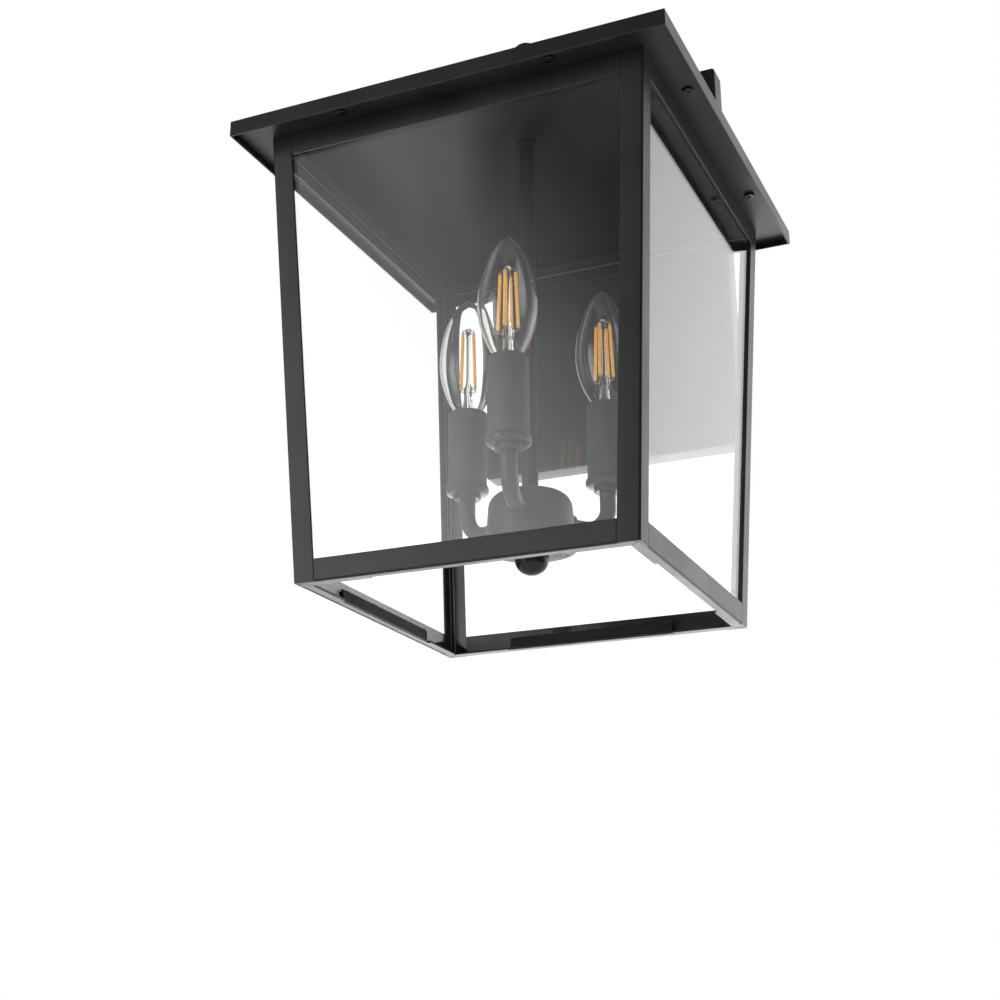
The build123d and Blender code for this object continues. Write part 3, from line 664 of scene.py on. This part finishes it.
def makeLightSticks(candle):
    node = candle + "_bulb_filament"
    bm = bmesh.new()
    for number in range(stick["count"]):
        low, high = stickEnds(candle, number)
        rodBetween(bm, low, high, stick["radius"], 16, 0.4)
    bmesh.ops.translate(bm, verts=bm.verts, vec=candleFoot(candle))
    return finishPiece(bm, candle + "LightSticks", [phosphorStickPaintedGlow], node, [node], 60)


def makeGlassMount(candle):
    node = candle + "_bulb_filament"
    bm = spunSolid(mount["flare"], Vector((0, 0, 0)), 32, closed=False)
    low, high = mount["press"]
    pressed = [vert for vert in bm.verts if low * mm < vert.co.z < high * mm]
    bmesh.ops.scale(bm, vec=(1, mount["pressThin"], 1), verts=pressed)
    turn = Matrix.Rotation(radians(stick["turn"][candle]), 4, "Z")
    bmesh.ops.transform(bm, matrix=Matrix.Translation(candleFoot(candle)) @ turn, verts=bm.verts)
    return smoothOut(finishPiece(bm, candle + "GlassMount", [mountClear], node, None, 80))


# Bent wires from the button to the tops of the sticks and from the press to their feet
def makeMountWires(candle):
    node = candle + "_bulb_filament"
    bm = bmesh.new()
    for number in range(stick["count"]):
        low, high = stickEnds(candle, number)
        lean = (high - low).normalized()
        out = Vector((high.x, high.y, 0)).normalized()
        topEnd = high + lean * stick["tab"]
        lowEnd = low - lean * stick["tab"]
        rodBetween(bm, high - lean * mount["tabInside"], topEnd, mount["tabRadius"], 8)
        rodBetween(bm, low + lean * mount["tabInside"], lowEnd, mount["tabRadius"], 8)
        for end, bend, foot in ((topEnd, "topBend", "button"), (lowEnd, "lowBend", "lowEnd")):
            corner = out * mount[bend][0] + Vector((0, 0, end.z + mount[bend][1]))
            inner = out * mount[foot][0] + Vector((0, 0, mount[foot][1]))
            rodBetween(bm, end, corner, mount["wire"], 6)
            rodBetween(bm, corner, inner, mount["wire"], 6)
    for sidewards in (-1, 1):
        leadTop, leadFoot = [
            (sidewards * across, 0, height) for across, height in (mount["leadTop"], mount["leadFoot"])
        ]
        rodBetween(bm, leadTop, leadFoot, mount["leadRadius"], 6)
    bmesh.ops.translate(bm, verts=bm.verts, vec=candleFoot(candle))
    return finishPiece(bm, candle + "MountWires", [steelWire], node, None)


for candle in candles:
    makeBulbGlass(candle)
    makeBulbCap(candle)
    makeLightSticks(candle)
    makeGlassMount(candle)
    makeMountWires(candle)
    dressedNode(candle + "_bulb_contact", candle + "BulbContact", brassContact, 0.3)
print("bulbs made")


studio = {
    "floorZ": -1.6, "floorHalf": 3.0, "floorTone": 0.86, "floorRough": 0.9, "floorGlow": 0.35,
    "direct": 1.0, "throughGlass": 1.3, "ambient": 0.15,
}
skyZones = {
    "frontLeftCard": {"toward": (-0.619, -0.784, 0.047), "edge": (0.876, 1.0), "glow": 3.4},
    "backdrop": {"toward": (0.0, 1.0, 0.0), "edge": (0.45, 0.8), "glow": 1.1},
    "backRight": {"toward": (0.34, 0.935, 0.087), "edge": (0.88, 1.0), "glow": 0.8},
    "rightSweep": {"toward": (0.72, 0.69, -0.1), "edge": (0.86, 1.0), "glow": 1.3},
    "lowSweep": {"toward": (-0.36, 0.9, -0.24), "edge": (0.86, 1.0), "glow": 3.6},
}


def makeFloor():
    bm = bmesh.new()
    bmesh.ops.create_grid(bm, x_segments=1, y_segments=1, size=studio["floorHalf"])
    bmesh.ops.translate(bm, verts=bm.verts, vec=(0, 0, studio["floorZ"]))
    mesh = bpy.data.meshes.new("studioFloor")
    bm.to_mesh(mesh)
    bm.free()
    floor = bpy.data.objects.new("studioFloor", mesh)
    scene.collection.objects.link(floor)
    material, _, _, shader = newMaterial("floorPale")
    shader.inputs["Base Color"].default_value = (*[studio["floorTone"]] * 3, 1)
    shader.inputs["Roughness"].default_value = studio["floorRough"]
    shader.inputs["Emission Color"].default_value = (1, 1, 1, 1)
    shader.inputs["Emission Strength"].default_value = studio["floorGlow"]
    mesh.materials.append(material)


# Pale surroundings as a few wide soft zones. The camera sees plain white instead, also through
# glass, where nothing else has turned the ray
def makeWorld():
    world = bpy.data.worlds.new("studio")
    scene.world = world
    world.use_nodes = True
    nodes, links = world.node_tree.nodes, world.node_tree.links
    nodes.clear()
    out = nodes.new("ShaderNodeOutputWorld")
    around = nodes.new("ShaderNodeBackground")
    direct = nodes.new("ShaderNodeBackground")
    direct.inputs["Color"].default_value = (1, 1, 1, 1)
    place = nodes.new("ShaderNodeTexCoord")
    total = nodes.new("ShaderNodeValue")
    total.outputs[0].default_value = studio["ambient"]
    total = total.outputs[0]
    for zone in skyZones.values():
        facing = nodes.new("ShaderNodeVectorMath")
        facing.operation = "DOT_PRODUCT"
        facing.inputs[1].default_value = Vector(zone["toward"]).normalized()
        shade = nodes.new("ShaderNodeMapRange")
        shade.interpolation_type = "SMOOTHSTEP"
        shade.inputs["From Min"].default_value, shade.inputs["From Max"].default_value = zone["edge"]
        shade.inputs["To Max"].default_value = zone["glow"]
        added = nodes.new("ShaderNodeMath")
        links.new(place.outputs["Generated"], facing.inputs[0])
        links.new(facing.outputs["Value"], shade.inputs["Value"])
        links.new(total, added.inputs[0])
        links.new(shade.outputs["Result"], added.inputs[1])
        total = added.outputs["Value"]
    light = nodes.new("ShaderNodeLightPath")
    bounced = nodes.new("ShaderNodeMath")
    bounced.operation = "SUBTRACT"
    straight = nodes.new("ShaderNodeMath")
    straight.operation = "LESS_THAN"
    straight.inputs[1].default_value = 1.5  # 0.5 shuts out even the camera's own rays
    glassOnly = nodes.new("ShaderNodeMath")
    glassOnly.operation = "MULTIPLY"
    plain = nodes.new("ShaderNodeMath")
    plain.operation = "MAXIMUM"
    white = nodes.new("ShaderNodeMapRange")
    white.inputs["To Min"].default_value = studio["throughGlass"]
    white.inputs["To Max"].default_value = studio["direct"]
    choose = nodes.new("ShaderNodeMixShader")
    links.new(light.outputs["Ray Depth"], bounced.inputs[0])
    links.new(light.outputs["Transmission Depth"], bounced.inputs[1])
    links.new(bounced.outputs["Value"], straight.inputs[0])
    links.new(straight.outputs["Value"], glassOnly.inputs[0])
    links.new(light.outputs["Is Transmission Ray"], glassOnly.inputs[1])
    links.new(glassOnly.outputs["Value"], plain.inputs[0])
    links.new(light.outputs["Is Camera Ray"], plain.inputs[1])
    links.new(light.outputs["Is Camera Ray"], white.inputs["Value"])
    links.new(white.outputs["Result"], direct.inputs["Strength"])
    links.new(total, around.inputs["Strength"])
    links.new(plain.outputs["Value"], choose.inputs["Fac"])
    links.new(around.outputs["Background"], choose.inputs[1])
    links.new(direct.outputs["Background"], choose.inputs[2])
    links.new(choose.outputs["Shader"], out.inputs["Surface"])


makeFloor()
makeWorld()
scene.view_settings.view_transform = "Standard"
scene.view_settings.look = "None"
scene.cycles.use_denoising = True
scene.cycles.max_bounces = 24
scene.cycles.transmission_bounces = 24
scene.cycles.glossy_bounces = 8
scene.cycles.transparent_max_bounces = 24
print("studio made")
